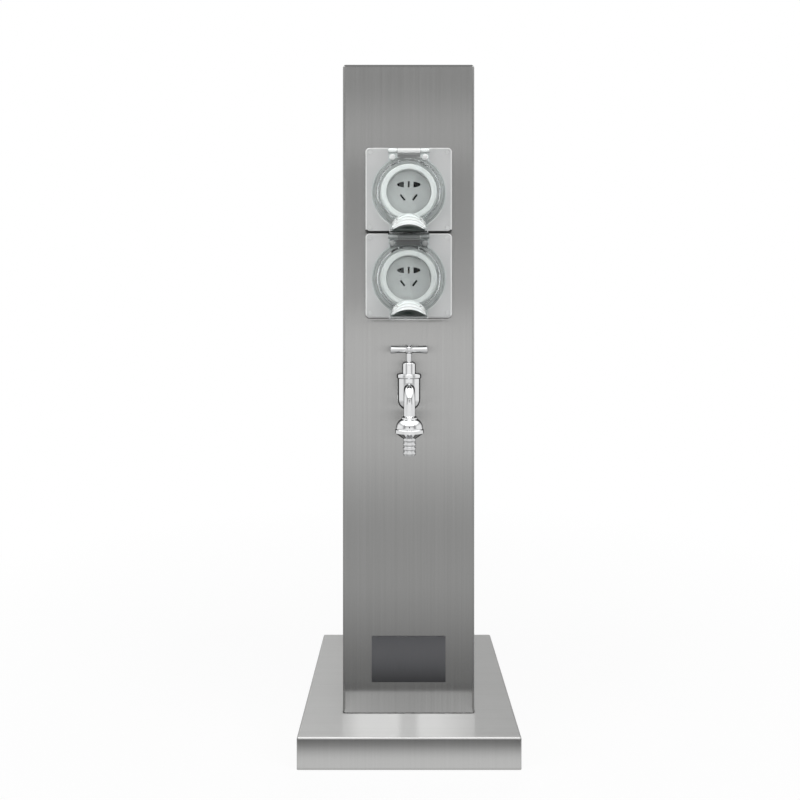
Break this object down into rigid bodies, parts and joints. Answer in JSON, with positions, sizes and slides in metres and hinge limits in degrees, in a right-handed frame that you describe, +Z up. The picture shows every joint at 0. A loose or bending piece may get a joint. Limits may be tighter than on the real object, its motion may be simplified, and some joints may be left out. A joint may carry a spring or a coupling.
{
  "type": "garden socket post",
  "caption": "Square stainless garden post on a covered foot, with lidded sockets and a tee-handled hose tap on its front.",
  "frame": {"origin": "middle of the foot plate's anchor holes, on the ground", "axes": "+Z up the column; the front with the sockets and the tap faces -Y; +X to the viewer's right"},
  "size_m": [0.213, 0.248, 0.6852],
  "materials": {
    "stainless_column": "vertical satin grain",
    "stainless_cover": "satin grain along its width",
    "foot_steel": "zinc grey",
    "nameplate_grey": "dark satin lacquer",
    "stainless_small": "plain",
    "brass_small": "plain",
    "chrome_tap": "polished",
    "black_rubber": "matt",
    "plate_grey": "light grey, satin",
    "screw_caps": "light grey caps",
    "collar_white": "white, gloss",
    "face_grey": "grey, satin",
    "shutter_dark": "dark",
    "housing_black": "black",
    "seal_grey": "grey",
    "clear_lid": "clear"
  },
  "bodies": {
    "post": {"bonnet": "chrome_tap", "collar_lower": "collar_white", "collar_upper": "collar_white", "column_cap": "stainless_column", "column_shell": "stainless_column", "contact_set_lower": "brass_small", "contact_set_upper": "brass_small", "earth_nut": "brass_small", "earth_stud": "stainless_small", "foot_flange": "foot_steel", "frame_plate_lower": "plate_grey", "frame_plate_upper": "plate_grey", "gland_nut": "chrome_tap", "gland_packing": "black_rubber", "hinge_pin_lower": "stainless_small", "hinge_pin_upper": "stainless_small", "hose_tail": "chrome_tap", "inlet_nipple": "brass_small", "lid_seal_lower": "seal_grey", "lid_seal_upper": "seal_grey", "nameplate": "nameplate_grey", "pipe_clip": "stainless_small", "plate_gasket_lower": "black_rubber", "plate_gasket_upper": "black_rubber", "plate_screws_lower": "screw_caps", "plate_screws_upper": "screw_caps", "rear_housing_lower": "housing_black", "rear_housing_upper": "housing_black", "riser_pipe": "stainless_small", "socket_insert_lower": "face_grey", "socket_insert_upper": "face_grey", "supply_elbow": "brass_small", "tail_washer": "black_rubber", "tap_back_nut": "brass_small", "tap_body": "chrome_tap", "tap_washer": "black_rubber", "terminal_screws_lower": "brass_small", "terminal_screws_upper": "brass_small"},
    "base_cover": {"base_cover": "stainless_cover"},
    "lid_upper": {"lid_upper": "clear_lid"},
    "lid_lower": {"lid_lower": "clear_lid"},
    "shutter_upper": {"shutter_upper": "shutter_dark"},
    "shutter_lower": {"shutter_lower": "shutter_dark"},
    "valve": {"jumper_valve": "brass_small", "valve_washer": "black_rubber"},
    "spindle": {"spindle": "chrome_tap", "tee_handle": "chrome_tap", "handle_screw": "chrome_tap"},
    "hose_nut": {"hose_nut": "chrome_tap"}
  },
  "joints": [
    {"name": "base_cover_slide", "type": "slide", "parent": "post", "child": "base_cover", "axis": [0, 0, 1], "range_m": [0, 0.03]},
    {"name": "valve_rise", "type": "slide", "parent": "post", "child": "valve", "axis": [0, 0, 1], "range_m": [0, 0.005]},
    {"name": "spindle_turn", "type": "hinge", "parent": "valve", "child": "spindle", "pos_m": [0, -0.0965, 0.3973], "axis": [0, 0, 1], "range_deg": [0, 720]},
    {"name": "hose_nut_turn", "type": "hinge", "parent": "post", "child": "hose_nut", "pos_m": [0, -0.1285, 0.3213], "axis": [0, 0, 1], "range_deg": [0, 360]},
    {"name": "lid_hinge_upper", "type": "hinge", "parent": "post", "child": "lid_upper", "pos_m": [0, -0.0781, 0.5941], "axis": [-1, 0, 0], "range_deg": [0, 85]},
    {"name": "shutter_slide_upper", "type": "slide", "parent": "post", "child": "shutter_upper", "axis": [-1, 0, 0], "range_m": [0, 0.003], "stiffness_N_per_m": 80, "springref_m": -0.004},
    {"name": "lid_hinge_lower", "type": "hinge", "parent": "post", "child": "lid_lower", "pos_m": [0, -0.0781, 0.5089], "axis": [-1, 0, 0], "range_deg": [0, 85]},
    {"name": "shutter_slide_lower", "type": "slide", "parent": "post", "child": "shutter_lower", "axis": [-1, 0, 0], "range_m": [0, 0.003], "stiffness_N_per_m": 80, "springref_m": -0.004}
  ],
  "couplings": [
    {"joint": "spindle_turn", "follows": "valve_rise", "rad_per_m": 2513.3}
  ]
}
